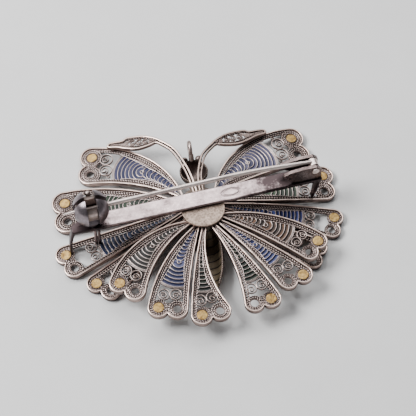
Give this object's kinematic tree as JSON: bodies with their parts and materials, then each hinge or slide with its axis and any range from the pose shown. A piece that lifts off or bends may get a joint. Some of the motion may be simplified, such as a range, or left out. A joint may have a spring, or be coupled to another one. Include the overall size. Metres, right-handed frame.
{
  "type": "filigree butterfly brooch",
  "caption": "Butterfly brooch lying face down: layered filigree and enamel petals, curled antennae, body shell, bar with swinging pin, and a ball catch with a turning safety rotor.",
  "frame": {"origin": "middle of the outline, on the surface the brooch lies on (the front wings' tips)", "axes": "+Z out of the back, through the pin; +Y along the body to the head; +X to the right seen from the back, towards the pin's hinge"},
  "size_m": [0.0458, 0.037, 0.0123],
  "materials": {
    "abdomen": "darkened silver",
    "antenna_left": "paired flat wires",
    "antenna_right": "paired flat wires",
    "backing_disc": "grainy sheet silver",
    "catch_housing": "dark polished, worn",
    "catch_rotor": "dark polished, worn",
    "centre_hub": "darkened silver",
    "gilt": "worn gilding",
    "head": "darkened silver",
    "head_loop": "darkened silver",
    "hinge_bracket": "rolled silver strip, scratched",
    "hinge_rivet": "drawn wire, polished by use",
    "enamel_back_left_1": "glossy translucent enamel",
    "silver_filigree": "twisted wire with tarnish in the recesses",
    "silver_edge_wire": "worn bright edge, tarnished flanks",
    "enamel_back_left_2": "glossy translucent enamel",
    "enamel_back_left_3": "glossy translucent enamel",
    "enamel_back_right_1": "glossy translucent enamel",
    "enamel_back_right_2": "glossy translucent enamel",
    "enamel_back_right_3": "glossy translucent enamel",
    "enamel_front_left_1": "glossy translucent enamel",
    "enamel_front_left_2": "glossy translucent enamel",
    "enamel_front_left_3": "glossy translucent enamel",
    "enamel_front_left_4": "glossy translucent enamel",
    "enamel_front_right_1": "glossy translucent enamel",
    "enamel_front_right_2": "glossy translucent enamel",
    "enamel_front_right_3": "glossy translucent enamel",
    "enamel_front_right_4": "glossy translucent enamel",
    "pin_bar": "rolled silver strip, scratched",
    "pin_stem": "drawn wire, polished by use",
    "thorax": "darkened silver"
  },
  "bodies": {
    "brooch": {"abdomen": "abdomen", "antenna_lace": "silver_filigree", "antenna_left": "antenna_left", "antenna_right": "antenna_right", "backing_disc": "backing_disc", "catch_housing": "catch_housing", "centre_hub": "centre_hub", "gilt_discs": "gilt", "head": "head", "head_loop": "head_loop", "hinge_bracket": "hinge_bracket", "hinge_rivet": "hinge_rivet", "petal_back_left_1_enamel": "enamel_back_left_1", "petal_back_left_1_lace": "silver_filigree", "petal_back_left_1_rim": "silver_edge_wire", "petal_back_left_2_enamel": "enamel_back_left_2", "petal_back_left_2_lace": "silver_filigree", "petal_back_left_2_rim": "silver_edge_wire", "petal_back_left_3_enamel": "enamel_back_left_3", "petal_back_left_3_lace": "silver_filigree", "petal_back_left_3_rim": "silver_edge_wire", "petal_back_right_1_enamel": "enamel_back_right_1", "petal_back_right_1_lace": "silver_filigree", "petal_back_right_1_rim": "silver_edge_wire", "petal_back_right_2_enamel": "enamel_back_right_2", "petal_back_right_2_lace": "silver_filigree", "petal_back_right_2_rim": "silver_edge_wire", "petal_back_right_3_enamel": "enamel_back_right_3", "petal_back_right_3_lace": "silver_filigree", "petal_back_right_3_rim": "silver_edge_wire", "petal_front_left_1_enamel": "enamel_front_left_1", "petal_front_left_1_lace": "silver_filigree", "petal_front_left_1_rim": "silver_edge_wire", "petal_front_left_2_enamel": "enamel_front_left_2", "petal_front_left_2_lace": "silver_filigree", "petal_front_left_2_rim": "silver_edge_wire", "petal_front_left_3_enamel": "enamel_front_left_3", "petal_front_left_3_lace": "silver_filigree", "petal_front_left_3_rim": "silver_edge_wire", "petal_front_left_4_enamel": "enamel_front_left_4", "petal_front_left_4_lace": "silver_filigree", "petal_front_left_4_rim": "silver_edge_wire", "petal_front_right_1_enamel": "enamel_front_right_1", "petal_front_right_1_lace": "silver_filigree", "petal_front_right_1_rim": "silver_edge_wire", "petal_front_right_2_enamel": "enamel_front_right_2", "petal_front_right_2_lace": "silver_filigree", "petal_front_right_2_rim": "silver_edge_wire", "petal_front_right_3_enamel": "enamel_front_right_3", "petal_front_right_3_lace": "silver_filigree", "petal_front_right_3_rim": "silver_edge_wire", "petal_front_right_4_enamel": "enamel_front_right_4", "petal_front_right_4_lace": "silver_filigree", "petal_front_right_4_rim": "silver_edge_wire", "pin_bar": "pin_bar", "thorax": "thorax"},
    "pin": {"pin_stem": "pin_stem"},
    "rotor": {"catch_rotor": "catch_rotor"}
  },
  "joints": [
    {"name": "pin_swing", "type": "hinge", "parent": "brooch", "child": "pin", "pos_m": [0.0186, 0.00417, 0.00847], "axis": [-0.0941, 0.9956, 0], "range_deg": [0, 80]},
    {"name": "catch_turn", "type": "hinge", "parent": "brooch", "child": "rotor", "pos_m": [-0.0165, 0.00086, 0.00963], "axis": [0.9956, 0.0941, 0], "range_deg": [0, 90]}
  ]
}
